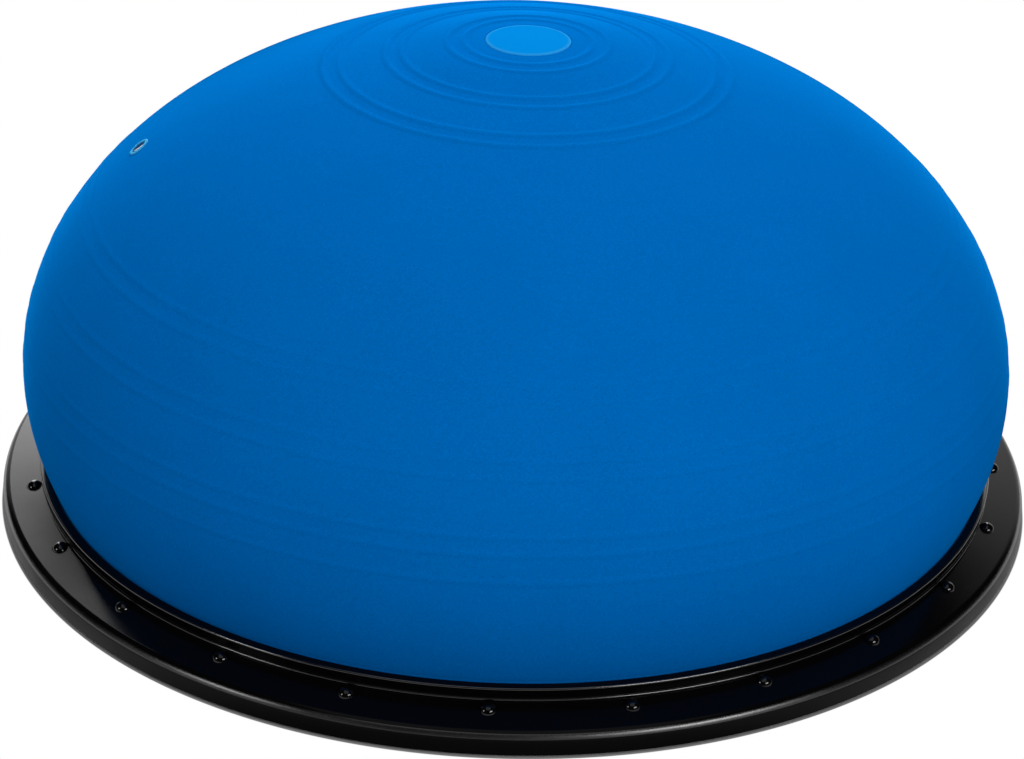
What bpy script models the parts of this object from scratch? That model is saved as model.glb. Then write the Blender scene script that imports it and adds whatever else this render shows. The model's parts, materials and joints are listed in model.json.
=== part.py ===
"""Trampoline balance ball: an inflated dome held in a riveted clamp ring on a ribbed base plate.

Metres, +Z up. The origin is on the floor, under the middle of the dome.
Run it with blender --background --python part.py, or from the text editor.
"""

import math

import bmesh
import bpy
from mathutils import Matrix, Vector

# Clearances that every fit takes its size from
SEAT_GAP = 0.0003
SHELL_CLEARANCE = 0.0014  # from the ball out to the bore of the collar, all round its mouth

# Clamp ring: skirt, flange and collar in one moulding
RING_RADIUS = 0.260
SKIRT_WALL = 0.003
SKIRT_DEPTH = 0.007  # from the skirt's lower edge up to the base plate's top face
SHOULDER_FALL = 0.0064  # from the flat of the flange down to where the skirt stands upright
FLANGE_WIDTH = 0.0196  # from the ring's outer edge in to the neck of the collar
GROOVE_COVER = 0.0035  # plastic left above the groove that grips the ball's bead
GROOVE_LAND = 0.0006  # plastic left between that groove and the rivet holes
COLLAR_WALL = 0.0028
COLLAR_HEIGHT = 0.0088
LIP_OVERHANG = 0.0014  # how far the upper lip stands out from the neck
LOWER_LIP_OVERHANG = 0.0011
LOWER_LIP_HEIGHT = 0.0034  # top of the lower lip above the flange
LIP_EDGE = 0.0008  # height of the upright face on the lower lip
NOTCH_HEIGHT = 0.0011
LIP_ROUNDING = 0.0008

# Domed rivets through the ring and the base plate
RIVET_COUNT = 24
RIVET_HEAD_RADIUS = 0.0039
RIVET_HEAD_HEIGHT = 0.0026
RIVET_SHANK_RADIUS = 0.0021
RIVET_TAIL_RADIUS = 0.0033
RIVET_TAIL_HEIGHT = 0.0014
RIVET_STANDOFF = 0.0005  # flat left beside each head, towards the collar and towards the shoulder

# Base plate with its ribs and foot cups
PLATE_THICKNESS = 0.003
RIB_WIDTH = 0.0025
RIB_RECESS = 0.0006  # ring ribs end this far above the skirt's lower edge
RADIAL_RIB_RECESS = 0.0004  # radial ribs end this far above the ring ribs
RADIAL_RIB_COUNT = 16
HUB_RADIUS = 0.045
RIM_RIB_INSET = 0.006  # from the rivet tails in to the outermost ring rib
CUP_WALL = 0.0025

# Rubber feet pressed up into the base plate
FOOT_COUNT = 8
FOOT_RADIUS = 0.015
FOOT_STAND = 0.001  # the feet hold the skirt this far off the floor
FOOT_INSET = 0.010  # from the outermost ring rib in to the foot cups
FOOT_EDGE = 0.0011
FOOT_SEAT_DEPTH = 0.0004  # recess in the plate that the pad bears on
SPIGOT_RADIUS = 0.004
SPIGOT_CHAMFER = 0.0006

# Inflated ball, clamped by the bead at its foot
SHELL_WALL = 0.003
BALL_BULGE = 0.0085  # how far the ball swells past the bore of the collar
BALL_RISE = 0.164  # from the ball's widest level up to its crown
MOULD_LINE_RISE = 0.0101  # mould line above the widest level

# Smooth disc let into the crown
DISC_RADIUS = 0.0205
DISC_SINK = 0.0008
DISC_PROUD = 0.0004
DISC_EDGE = 0.0007

# Inflation valve in the ball's shoulder, with its stopper
VALVE_AZIMUTH = math.radians(184.5)
VALVE_TURN = math.radians(49.2)  # angle down from the crown on the ball's ellipse
VALVE_FLANGE_RADIUS = 0.0057
VALVE_FLANGE_THICKNESS = 0.0012
VALVE_SINK = 0.0008  # depth of the flat seat cut into the ball
VALVE_TUBE_RADIUS = 0.0045
VALVE_REACH = 0.006  # how far the tube runs on inside the ball
VALVE_BORE_RADIUS = 0.0033
VALVE_THROAT_RADIUS = 0.0024  # narrow end of the bore that stops the stopper
VALVE_THROAT_LENGTH = 0.0025
VALVE_BARB_OVERHANG = 0.0009
VALVE_BARB_THICKNESS = 0.0010
VALVE_EDGE = 0.0003
STOPPER_SUNK = 0.0003  # stopper's rim below the rim of the valve
STOPPER_WALL = 0.0007
STOPPER_CUP_DEPTH = 0.0020
STOPPER_TIP_LENGTH = 0.0034
GRIP_BAR_WIDTH = 0.0009
GRIP_BAR_HEIGHT = 0.0016

# Faceting
RING_STEPS = 60
SMALL_STEPS = 16
FOOT_STEPS = 16
RIVET_STEPS = 8
SHOULDER_STEPS = 5
DOME_STEPS = 10
FLANK_STEPS = 5
HEAD_STEPS = 3
SMOOTH_ANGLE = math.radians(30)

# Levels that follow from the sizes above
SKIRT_BOTTOM = FOOT_STAND
PLATE_TOP = SKIRT_BOTTOM + SKIRT_DEPTH
PLATE_UNDER = PLATE_TOP - PLATE_THICKNESS
RING_LAND = PLATE_TOP + SEAT_GAP
BALL_FLOOR = PLATE_TOP + SEAT_GAP
BALL_FLOOR_TOP = BALL_FLOOR + SHELL_WALL
GROOVE_TOP = BALL_FLOOR_TOP + SEAT_GAP
FLANGE_TOP = GROOVE_TOP + GROOVE_COVER
COLLAR_TOP = FLANGE_TOP + COLLAR_HEIGHT
RIB_BOTTOM = SKIRT_BOTTOM + RIB_RECESS
FOOT_SEAT = PLATE_UNDER + FOOT_SEAT_DEPTH

# Radii that follow from the sizes above
NECK_RADIUS = RING_RADIUS - FLANGE_WIDTH
BORE_RADIUS = NECK_RADIUS - COLLAR_WALL
RIVET_CIRCLE = NECK_RADIUS + RIVET_STANDOFF + RIVET_HEAD_RADIUS
FLAT_RADIUS = RIVET_CIRCLE + RIVET_HEAD_RADIUS + RIVET_STANDOFF
RIVET_HOLE_RADIUS = RIVET_SHANK_RADIUS + SEAT_GAP
GROOVE_RADIUS = RIVET_CIRCLE - RIVET_HOLE_RADIUS - GROOVE_LAND
BEAD_RADIUS = GROOVE_RADIUS - SEAT_GAP
PLATE_RADIUS = RING_RADIUS - SKIRT_WALL - SEAT_GAP
RIM_RIB_RADIUS = RIVET_CIRCLE - RIVET_TAIL_RADIUS - RIM_RIB_INSET
CUP_RADIUS = FOOT_RADIUS + SEAT_GAP + CUP_WALL
FOOT_CIRCLE = RIM_RIB_RADIUS - RIB_WIDTH - FOOT_INSET - CUP_RADIUS
MIDDLE_RIB_RADIUS = (HUB_RADIUS + FOOT_CIRCLE) / 2

# The ball is an oblate ellipsoid that leaves the collar at its mouth
MOUTH_RADIUS = BORE_RADIUS - SHELL_CLEARANCE
BALL_RADIUS = BORE_RADIUS + BALL_BULGE
MOUTH_TURN = math.pi - math.asin(MOUTH_RADIUS / BALL_RADIUS)
BALL_CENTRE = COLLAR_TOP - BALL_RISE * math.cos(MOUTH_TURN)
SEAM_TURN = math.acos(MOULD_LINE_RISE / BALL_RISE)
CROWN = BALL_CENTRE + BALL_RISE


def clear_scene():
    for old in list(bpy.data.objects):
        bpy.data.objects.remove(old, do_unlink=True)


def new_collection(name):
    collection = bpy.data.collections.new(name)
    bpy.context.scene.collection.children.link(collection)
    return collection


def material(name, colour, roughness, metallic=0.0):
    made = bpy.data.materials.new(name)
    made.use_nodes = True
    shader = made.node_tree.nodes["Principled BSDF"]
    shader.inputs["Base Color"].default_value = (*colour, 1.0)
    shader.inputs["Roughness"].default_value = roughness
    shader.inputs["Metallic"].default_value = metallic
    made.diffuse_color = (*colour, 1.0)
    return made


def add_object(name, mesh, collection, finish=None):
    made = bpy.data.objects.new(name, mesh)
    collection.objects.link(made)
    if finish:
        mesh.materials.append(finish)
    return made


def shade_by_angle(mesh):
    mesh.shade_smooth()
    mesh.set_sharp_from_angle(angle=SMOOTH_ANGLE)


def turned(name, profile, steps, collection, finish=None, closed=False):
    """A solid of revolution about its own Z axis. The profile runs down its outer side."""
    outline = bpy.data.meshes.new(name)
    corners = [(radius, 0.0, height) for radius, height in profile]
    edges = [(i, i + 1) for i in range(len(corners) - 1)]
    if closed:
        edges.append((len(corners) - 1, 0))
    outline.from_pydata(corners, edges, [])
    made = add_object(name, outline, collection)
    screw = made.modifiers.new("Turn", "SCREW")
    screw.axis = "Z"
    screw.angle = math.tau
    screw.steps = steps
    screw.render_steps = steps
    screw.use_merge_vertices = True
    screw.merge_threshold = 0.00001
    graph = bpy.context.evaluated_depsgraph_get()
    solid = bpy.data.meshes.new_from_object(made.evaluated_get(graph))
    made.modifiers.clear()
    made.data = solid
    bpy.data.meshes.remove(outline)
    solid.name = name
    if finish:
        solid.materials.append(finish)
    shade_by_angle(solid)
    return made


def cylinders(name, places, radius, bottom, top, steps, collection):
    """One mesh of upright cylinders, a cutter or a boss, at each (x, y) of places."""
    shape = bmesh.new()
    for x, y in places:
        middle = Matrix.Translation((x, y, (bottom + top) / 2))
        bmesh.ops.create_cone(
            shape,
            cap_ends=True,
            segments=steps,
            radius1=radius,
            radius2=radius,
            depth=top - bottom,
            matrix=middle,
        )
    mesh = bpy.data.meshes.new(name)
    shape.to_mesh(mesh)
    shape.free()
    return as_tool(add_object(name, mesh, collection))


def as_tool(tool):
    tool.hide_render = True
    tool.display_type = "WIRE"
    return tool


def boolean(solid, tool, operation):
    step = solid.modifiers.new(f"{operation.title()} {tool.name}", "BOOLEAN")
    step.operation = operation
    step.solver = "EXACT"
    step.object = tool


def around(count, radius, start=0.0):
    angles = [start + math.tau * i / count for i in range(count)]
    return [(radius * math.cos(a), radius * math.sin(a)) for a in angles]


def arc(centre_radius, centre_height, radius, start, end, steps):
    """Points of a circular arc in the profile plane, from one angle to the other."""
    angles = [start + (end - start) * i / steps for i in range(steps + 1)]
    return [
        (centre_radius + radius * math.cos(a), centre_height + radius * math.sin(a))
        for a in angles
    ]


def ball_normal(turn):
    return Vector((BALL_RISE * math.sin(turn), BALL_RADIUS * math.cos(turn))).normalized()


def ball_point(turn, inset=0.0):
    """(radius, height) on the ball at an angle down from the crown, moved inwards by inset."""
    normal = ball_normal(turn)
    return (
        BALL_RADIUS * math.sin(turn) - inset * normal.x,
        BALL_CENTRE + BALL_RISE * math.cos(turn) - inset * normal.y,
    )


def ball_arc(start, end, steps, inset=0.0):
    return [ball_point(start + (end - start) * i / steps, inset) for i in range(steps + 1)]


def shoulder():
    """Quarter of an ellipse from the flat under the rivet heads out and down to the skirt."""
    turns = [math.pi / 2 * i / SHOULDER_STEPS for i in range(SHOULDER_STEPS + 1)]
    width = RING_RADIUS - FLAT_RADIUS
    foot = FLANGE_TOP - SHOULDER_FALL
    return [
        (FLAT_RADIUS + width * math.sin(turn), foot + SHOULDER_FALL * math.cos(turn))
        for turn in turns
    ]


def make_clamp_ring(parts, tools, finish, rivet_places):
    """Skirt, flange and double-lipped collar, grooved below for the ball's bead."""
    upper_lip = NECK_RADIUS + LIP_OVERHANG
    lower_lip = NECK_RADIUS + LOWER_LIP_OVERHANG
    lower_lip_top = FLANGE_TOP + LOWER_LIP_HEIGHT
    quarter = math.pi / 2
    profile = [
        (BORE_RADIUS, COLLAR_TOP - LIP_ROUNDING),
        (BORE_RADIUS + LIP_ROUNDING, COLLAR_TOP),
        *arc(
            upper_lip - LIP_ROUNDING,
            COLLAR_TOP - LIP_ROUNDING,
            LIP_ROUNDING,
            quarter,
            0.0,
            2,
        ),
        (upper_lip, lower_lip_top + NOTCH_HEIGHT),
        (NECK_RADIUS, lower_lip_top),
        (lower_lip, lower_lip_top - NOTCH_HEIGHT / 2),
        (lower_lip, lower_lip_top - NOTCH_HEIGHT / 2 - LIP_EDGE),
        (NECK_RADIUS, lower_lip_top - NOTCH_HEIGHT - LIP_EDGE),
        (NECK_RADIUS, FLANGE_TOP),
        *shoulder(),
        (RING_RADIUS, SKIRT_BOTTOM),
        (RING_RADIUS - SKIRT_WALL, SKIRT_BOTTOM),
        (RING_RADIUS - SKIRT_WALL, RING_LAND),
        (GROOVE_RADIUS, RING_LAND),
        (GROOVE_RADIUS, GROOVE_TOP),
        (BORE_RADIUS, GROOVE_TOP),
    ]
    ring = turned("clamp_ring", profile, RING_STEPS, parts, finish, closed=True)
    holes = cylinders(
        "ring_rivet_holes",
        rivet_places,
        RIVET_HOLE_RADIUS,
        SKIRT_BOTTOM,
        COLLAR_TOP,
        RIVET_STEPS,
        tools,
    )
    boolean(ring, holes, "DIFFERENCE")
    return ring


def ring_rib(outer):
    """Profile steps, running inwards, of a rib that hangs under the plate."""
    inner = outer - RIB_WIDTH
    return [
        (outer, PLATE_UNDER),
        (outer, RIB_BOTTOM),
        (inner, RIB_BOTTOM),
        (inner, PLATE_UNDER),
    ]


def radial_ribs(tools):
    """Straight ribs from the hub out to the outermost ring rib, one mesh of boxes."""
    inner = HUB_RADIUS - RIB_WIDTH / 2
    outer = RIM_RIB_RADIUS - RIB_WIDTH / 2
    bottom = RIB_BOTTOM + RADIAL_RIB_RECESS
    top = PLATE_UNDER + PLATE_THICKNESS / 3
    size = Matrix.Diagonal((outer - inner, RIB_WIDTH, top - bottom, 1.0))
    place = Matrix.Translation(((inner + outer) / 2, 0.0, (bottom + top) / 2))
    shape = bmesh.new()
    for i in range(RADIAL_RIB_COUNT):
        turn = Matrix.Rotation(math.tau * i / RADIAL_RIB_COUNT, 4, "Z")
        bmesh.ops.create_cube(shape, size=1.0, matrix=turn @ place @ size)
    mesh = bpy.data.meshes.new("radial_ribs")
    shape.to_mesh(mesh)
    shape.free()
    return as_tool(add_object("radial_ribs", mesh, tools))


def make_base_plate(parts, tools, finish, rivet_places, foot_places):
    """Flat plate, ribbed below, with a cup and a hole for each foot."""
    profile = [
        (0.0, PLATE_TOP),
        (PLATE_RADIUS, PLATE_TOP),
        (PLATE_RADIUS, PLATE_UNDER),
        *ring_rib(RIM_RIB_RADIUS),
        *ring_rib(MIDDLE_RIB_RADIUS),
        *ring_rib(HUB_RADIUS),
        (0.0, PLATE_UNDER),
    ]
    plate = turned("base_plate", profile, RING_STEPS, parts, finish)
    boolean(plate, radial_ribs(tools), "UNION")
    cup_bottom = RIB_BOTTOM + RADIAL_RIB_RECESS / 2
    cup_top = PLATE_UNDER + PLATE_THICKNESS / 2
    cups = cylinders("foot_cups", foot_places, CUP_RADIUS, cup_bottom, cup_top, FOOT_STEPS, tools)
    boolean(plate, cups, "UNION")
    seats = cylinders(
        "foot_seats",
        foot_places,
        FOOT_RADIUS + SEAT_GAP,
        -FOOT_STAND,
        FOOT_SEAT,
        FOOT_STEPS,
        tools,
    )
    boolean(plate, seats, "DIFFERENCE")
    spigots = cylinders(
        "spigot_holes",
        foot_places,
        SPIGOT_RADIUS + SEAT_GAP,
        -FOOT_STAND,
        PLATE_TOP + PLATE_THICKNESS,
        SMALL_STEPS,
        tools,
    )
    boolean(plate, spigots, "DIFFERENCE")
    holes = cylinders(
        "plate_rivet_holes",
        rivet_places,
        RIVET_HOLE_RADIUS,
        -FOOT_STAND,
        PLATE_TOP + PLATE_THICKNESS,
        RIVET_STEPS,
        tools,
    )
    boolean(plate, holes, "DIFFERENCE")
    return plate


def make_rivets(parts, finish, places):
    """Domed head on the flange, shank through ring and plate, upset tail below."""
    head_base = FLANGE_TOP + SEAT_GAP
    tail_top = PLATE_UNDER - SEAT_GAP
    tail_bottom = tail_top - RIVET_TAIL_HEIGHT
    angles = [math.pi / 2 * (1 - i / HEAD_STEPS) for i in range(HEAD_STEPS)]
    head = [
        (RIVET_HEAD_RADIUS * math.cos(a), head_base + RIVET_HEAD_HEIGHT * math.sin(a))
        for a in angles
    ]
    profile = [
        (0.0, head_base + RIVET_HEAD_HEIGHT),
        *head[1:],
        (RIVET_HEAD_RADIUS, head_base),
        (RIVET_SHANK_RADIUS, head_base),
        (RIVET_SHANK_RADIUS, tail_top),
        (RIVET_TAIL_RADIUS, tail_top),
        (RIVET_SHANK_RADIUS, tail_bottom),
        (0.0, tail_bottom),
    ]
    for number, (x, y) in enumerate(places, 1):
        rivet = turned(f"rivet_{number:02d}", profile, RIVET_STEPS, parts, finish)
        rivet.location = (x, y, 0.0)
        rivet.rotation_euler.z = math.atan2(y, x)


def make_feet(parts, finish, places):
    """Rubber pads with a spigot pressed up through the plate."""
    pad_top = FOOT_SEAT - SEAT_GAP
    spigot_top = PLATE_TOP - SEAT_GAP
    profile = [
        (0.0, spigot_top),
        (SPIGOT_RADIUS - SPIGOT_CHAMFER, spigot_top),
        (SPIGOT_RADIUS, spigot_top - SPIGOT_CHAMFER),
        (SPIGOT_RADIUS, pad_top),
        (FOOT_RADIUS, pad_top),
        (FOOT_RADIUS, FOOT_EDGE),
        (FOOT_RADIUS - FOOT_EDGE, 0.0),
        (0.0, 0.0),
    ]
    for number, (x, y) in enumerate(places, 1):
        foot = turned(f"foot_{number}", profile, FOOT_STEPS, parts, finish)
        foot.location = (x, y, 0.0)


def make_lower_shell(parts, finish):
    """The ball below its mould line: flat floor, clamped bead and swelling flank."""
    seam = SEAM_TURN + seam_half_gap()
    throat = MOUTH_RADIUS - SHELL_WALL
    profile = [
        (0.0, BALL_FLOOR_TOP),
        (throat, BALL_FLOOR_TOP),
        (throat, COLLAR_TOP),
        *ball_arc(MOUTH_TURN, seam, FLANK_STEPS, SHELL_WALL),
        *ball_arc(seam, MOUTH_TURN, FLANK_STEPS),
        (MOUTH_RADIUS, BALL_FLOOR_TOP),
        (BEAD_RADIUS, BALL_FLOOR_TOP),
        (BEAD_RADIUS, BALL_FLOOR),
        (0.0, BALL_FLOOR),
    ]
    return turned("lower_shell", profile, RING_STEPS, parts, finish)


def seam_half_gap():
    """Half of the gap at the mould line, as an angle on the ball's ellipse."""
    speed = math.hypot(BALL_RADIUS * math.cos(SEAM_TURN), BALL_RISE * math.sin(SEAM_TURN))
    return SEAT_GAP / speed / 2


def make_upper_shell(parts, tools, finish):
    """The ball above its mould line, with a seat for the crown disc and a valve hole."""
    seam = SEAM_TURN - seam_half_gap()
    recess = DISC_RADIUS + SEAT_GAP
    recess_turn = math.asin(recess / BALL_RADIUS)
    profile = [
        (0.0, disc_floor()),
        (recess, disc_floor()),
        *ball_arc(recess_turn, seam, DOME_STEPS),
        *ball_arc(seam, 0.0, DOME_STEPS, SHELL_WALL),
    ]
    shell = turned("upper_shell", profile, RING_STEPS, parts, finish)
    hole = VALVE_TUBE_RADIUS + SEAT_GAP
    seat = VALVE_FLANGE_RADIUS + SEAT_GAP
    inner_seat = VALVE_TUBE_RADIUS + VALVE_BARB_OVERHANG + SEAT_GAP
    above = 2 * VALVE_FLANGE_THICKNESS
    cutter = [
        (0.0, above),
        (seat, above),
        (seat, -VALVE_SINK),
        (hole, -VALVE_SINK),
        (hole, -SHELL_WALL),
        (inner_seat, -SHELL_WALL),
        (inner_seat, -2 * SHELL_WALL),
        (0.0, -2 * SHELL_WALL),
    ]
    opening = as_tool(turned("valve_opening", cutter, SMALL_STEPS, tools))
    place_on_valve_axis(opening)
    boolean(shell, opening, "DIFFERENCE")
    return shell


def disc_floor():
    """Level of the flat recess that the crown disc lies in."""
    edge_turn = math.asin(DISC_RADIUS / BALL_RADIUS)
    return ball_point(edge_turn)[1] - DISC_SINK


def make_crown_disc(parts, finish):
    """Smooth disc whose top carries on the dome's curve, slightly proud."""
    edge_turn = math.asin(DISC_RADIUS / BALL_RADIUS)
    inner_turn = math.asin((DISC_RADIUS - DISC_EDGE) / BALL_RADIUS)
    profile = [
        *ball_arc(0.0, inner_turn, 2, -DISC_PROUD),
        ball_point(edge_turn),
        (DISC_RADIUS, disc_floor() + SEAT_GAP),
        (0.0, disc_floor() + SEAT_GAP),
    ]
    return turned("crown_disc", profile, RING_STEPS // 2, parts, finish)


def valve_frame():
    """Matrix whose origin is on the ball's surface at the valve and whose Z points outwards."""
    radius, height = ball_point(VALVE_TURN)
    normal = ball_normal(VALVE_TURN)
    tilt = math.atan2(normal.x, normal.y)
    spin = Matrix.Rotation(VALVE_AZIMUTH, 4, "Z")
    return spin @ Matrix.Translation((radius, 0.0, height)) @ Matrix.Rotation(tilt, 4, "Y")


def place_on_valve_axis(piece):
    piece.matrix_world = valve_frame()


def make_valve_seat(parts, finish):
    """Soft valve body: flange outside, tube through the wall, barb inside."""
    flange_base = SEAT_GAP - VALVE_SINK
    flange_top = flange_base + VALVE_FLANGE_THICKNESS
    barb_top = -SHELL_WALL - SEAT_GAP
    barb_bottom = barb_top - VALVE_BARB_THICKNESS
    tube_end = -SHELL_WALL - VALVE_REACH
    throat_top = tube_end + VALVE_THROAT_LENGTH
    profile = [
        (VALVE_BORE_RADIUS, flange_top - VALVE_EDGE),
        (VALVE_BORE_RADIUS + VALVE_EDGE, flange_top),
        (VALVE_FLANGE_RADIUS - VALVE_EDGE, flange_top),
        (VALVE_FLANGE_RADIUS, flange_top - VALVE_EDGE),
        (VALVE_FLANGE_RADIUS, flange_base),
        (VALVE_TUBE_RADIUS, flange_base),
        (VALVE_TUBE_RADIUS, barb_top),
        (VALVE_TUBE_RADIUS + VALVE_BARB_OVERHANG, barb_top),
        (VALVE_TUBE_RADIUS, barb_bottom),
        (VALVE_TUBE_RADIUS, tube_end),
        (VALVE_THROAT_RADIUS, tube_end),
        (VALVE_THROAT_RADIUS, throat_top),
        (VALVE_BORE_RADIUS, throat_top),
    ]
    seat = turned("valve_seat", profile, SMALL_STEPS, parts, finish, closed=True)
    place_on_valve_axis(seat)
    return seat


def make_valve_stopper(parts, tools, finish):
    """Stopper with a cup and a grip bar in its head, and a narrower tip below."""
    rim = SEAT_GAP - VALVE_SINK + VALVE_FLANGE_THICKNESS - STOPPER_SUNK
    body_radius = VALVE_BORE_RADIUS - SEAT_GAP
    tip_radius = VALVE_THROAT_RADIUS - SEAT_GAP
    body_end = -SHELL_WALL - VALVE_REACH + VALVE_THROAT_LENGTH + SEAT_GAP
    cup_radius = body_radius - STOPPER_WALL
    cup_floor = rim - STOPPER_CUP_DEPTH
    profile = [
        (0.0, cup_floor),
        (cup_radius, cup_floor),
        (cup_radius, rim),
        (body_radius, rim),
        (body_radius, body_end),
        (tip_radius, body_end),
        (tip_radius, body_end - STOPPER_TIP_LENGTH),
        (0.0, body_end - STOPPER_TIP_LENGTH),
    ]
    stopper = turned("valve_stopper", profile, SMALL_STEPS, parts, finish)
    place_on_valve_axis(stopper)
    length = 2 * cup_radius + STOPPER_WALL
    sunk = STOPPER_WALL / 2
    size = Matrix.Diagonal((length, GRIP_BAR_WIDTH, GRIP_BAR_HEIGHT + sunk, 1.0))
    middle = Matrix.Translation((0.0, 0.0, cup_floor + (GRIP_BAR_HEIGHT - sunk) / 2))
    shape = bmesh.new()
    bmesh.ops.create_cube(shape, size=1.0, matrix=middle @ size)
    mesh = bpy.data.meshes.new("grip_bar")
    shape.to_mesh(mesh)
    shape.free()
    bar = as_tool(add_object("grip_bar", mesh, tools))
    place_on_valve_axis(bar)
    boolean(stopper, bar, "UNION")
    return stopper


def main():
    clear_scene()
    parts = new_collection("Trampoline balance ball")
    tools = new_collection("Cutters and bosses")
    ring_black = material("Satin black polypropylene", (0.012, 0.012, 0.013), 0.28)
    plate_black = material("Matt black polypropylene", (0.015, 0.015, 0.016), 0.5)
    rivet_black = material("Glossy black nylon", (0.008, 0.008, 0.009), 0.12)
    foot_rubber = material("Grey-black rubber", (0.03, 0.03, 0.03), 0.8)
    ball_blue = material("Matt blue vinyl", (0.0, 0.13, 0.48), 0.55)
    disc_blue = material("Smooth light blue vinyl", (0.0, 0.27, 0.76), 0.35)
    valve_blue = material("Pale blue soft vinyl", (0.12, 0.5, 0.82), 0.35)
    stopper_blue = material("Dark blue soft vinyl", (0.0, 0.06, 0.22), 0.45)
    rivet_places = around(RIVET_COUNT, RIVET_CIRCLE)
    foot_places = around(FOOT_COUNT, FOOT_CIRCLE, math.pi / FOOT_COUNT)
    make_clamp_ring(parts, tools, ring_black, rivet_places)
    make_base_plate(parts, tools, plate_black, rivet_places, foot_places)
    make_rivets(parts, rivet_black, rivet_places)
    make_feet(parts, foot_rubber, foot_places)
    make_lower_shell(parts, ball_blue)
    make_upper_shell(parts, tools, ball_blue)
    make_crown_disc(parts, disc_blue)
    make_valve_seat(parts, valve_blue)
    make_valve_stopper(parts, tools, stopper_blue)


main()
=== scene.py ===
"""Trampoline balance ball: the finished pieces, built round the packed solids.

Metres, +Z up, in the frame of the packed model. Each piece has its own operator, and the
panel in the 3D view's sidebar lists them with their sizes and colours.
"""

import json
import math

import bmesh
import bpy
from mathutils import Matrix, Vector

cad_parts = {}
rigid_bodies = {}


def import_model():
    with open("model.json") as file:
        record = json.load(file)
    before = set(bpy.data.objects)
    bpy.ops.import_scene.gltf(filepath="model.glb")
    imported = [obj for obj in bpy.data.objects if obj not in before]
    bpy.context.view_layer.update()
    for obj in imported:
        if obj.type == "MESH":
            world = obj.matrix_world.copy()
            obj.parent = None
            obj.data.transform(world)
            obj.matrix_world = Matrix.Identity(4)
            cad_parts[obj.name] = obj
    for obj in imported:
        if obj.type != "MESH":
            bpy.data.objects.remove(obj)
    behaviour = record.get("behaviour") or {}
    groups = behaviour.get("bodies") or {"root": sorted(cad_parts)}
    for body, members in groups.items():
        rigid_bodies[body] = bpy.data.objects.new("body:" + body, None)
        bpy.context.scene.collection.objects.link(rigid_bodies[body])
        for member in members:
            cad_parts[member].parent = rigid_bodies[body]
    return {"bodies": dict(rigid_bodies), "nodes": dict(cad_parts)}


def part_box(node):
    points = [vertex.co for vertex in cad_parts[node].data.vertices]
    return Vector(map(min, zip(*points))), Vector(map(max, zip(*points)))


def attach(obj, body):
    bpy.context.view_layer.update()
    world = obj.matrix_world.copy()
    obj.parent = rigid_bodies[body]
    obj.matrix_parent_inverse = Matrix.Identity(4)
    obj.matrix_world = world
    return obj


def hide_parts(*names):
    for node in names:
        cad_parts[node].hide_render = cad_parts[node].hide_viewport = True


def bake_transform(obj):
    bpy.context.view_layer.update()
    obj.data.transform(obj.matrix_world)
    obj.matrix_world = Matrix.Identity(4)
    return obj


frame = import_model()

bl_info = {
    "name": "Trampoline balance ball",
    "version": (1, 0, 0),
    "blender": (4, 5, 0),
    "location": "3D View > Sidebar > Balance ball",
    "description": "Builds an inflated balance ball in its riveted base ring",
    "category": "Add Mesh",
}

RING_LOW, RING_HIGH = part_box("clamp_ring")
PLATE_LOW, PLATE_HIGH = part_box("base_plate")
DISC_LOW, DISC_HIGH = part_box("crown_disc")
RIVET_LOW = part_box("rivet_01")[0]
FOOT_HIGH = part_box("foot_1")[1]
SHELL_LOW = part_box("lower_shell")[0]

# Gap between a piece and the seat that it stands in
CLEARANCE = 0.0003
# Joins the seam and the poles of a turned piece
MERGE_DISTANCE = 0.000001
# Faces that meet at less than this are shaded smooth
SOFT_EDGE = math.radians(35)
# A rounding has a face for each of these in its radius
STEP_LENGTH = 0.00028
LAMP_DISTANCE = 2.2

# Faces round each turned piece
BALL_STEPS, DISC_STEPS, RING_STEPS, PLATE_STEPS = 192, 96, 256, 192
RIVET_STEPS, FOOT_STEPS, CUP_STEPS = 28, 48, 64
VALVE_STEPS, STOPPER_STEPS, HOLE_STEPS = 64, 48, 48

# Kinds of node that are used often
ATTRIBUTE = "GeometryNodeInputNamedAttribute"
BUMP = "ShaderNodeBump"
COMBINE = "ShaderNodeCombineXYZ"
GROUP = "GeometryNodeGroup"
INTEGER = "FunctionNodeIntegerMath"
MATH = "ShaderNodeMath"
MIX = "ShaderNodeMix"
NOISE = "ShaderNodeTexNoise"
RANGE = "ShaderNodeMapRange"
ROTATE = "ShaderNodeVectorRotate"
SAMPLE = "GeometryNodeSampleIndex"
STORE = "GeometryNodeStoreNamedAttribute"
VECTOR = "ShaderNodeVectorMath"


# Sizes and colours


def linear(hex_colour):
    """An sRGB colour such as "#1266B0" as the linear values that a shader takes."""
    channels = [int(hex_colour[i : i + 2], 16) / 255 for i in (1, 3, 5)]
    return tuple(
        c / 12.92 if c <= 0.04045 else ((c + 0.055) / 1.055) ** 2.4 for c in channels
    )


def kind_of(prop, **fixed):
    """A function of a name, a description and a default for properties of one kind."""
    return lambda name, description, default: prop(
        name=name, description=description, default=default, **fixed
    )


length = kind_of(bpy.props.FloatProperty, min=0.0, unit="LENGTH", precision=5)
radians = kind_of(bpy.props.FloatProperty, subtype="ANGLE")
power = kind_of(bpy.props.FloatProperty, min=0.0, unit="POWER")
amount = kind_of(bpy.props.FloatProperty, min=0.0)
focal_length = kind_of(bpy.props.FloatProperty, unit="CAMERA")
count = kind_of(bpy.props.IntProperty, min=1)
spot = kind_of(bpy.props.FloatVectorProperty, size=3, subtype="TRANSLATION")
shares = kind_of(bpy.props.FloatVectorProperty, size=2)
tint = kind_of(bpy.props.FloatVectorProperty, min=0.0, max=1.0, size=3, subtype="COLOR")


def angle(name, description, degrees):
    return radians(name, description, math.radians(degrees))


def colour(name, description, hex_colour):
    return tint(name, description, linear(hex_colour))


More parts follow.
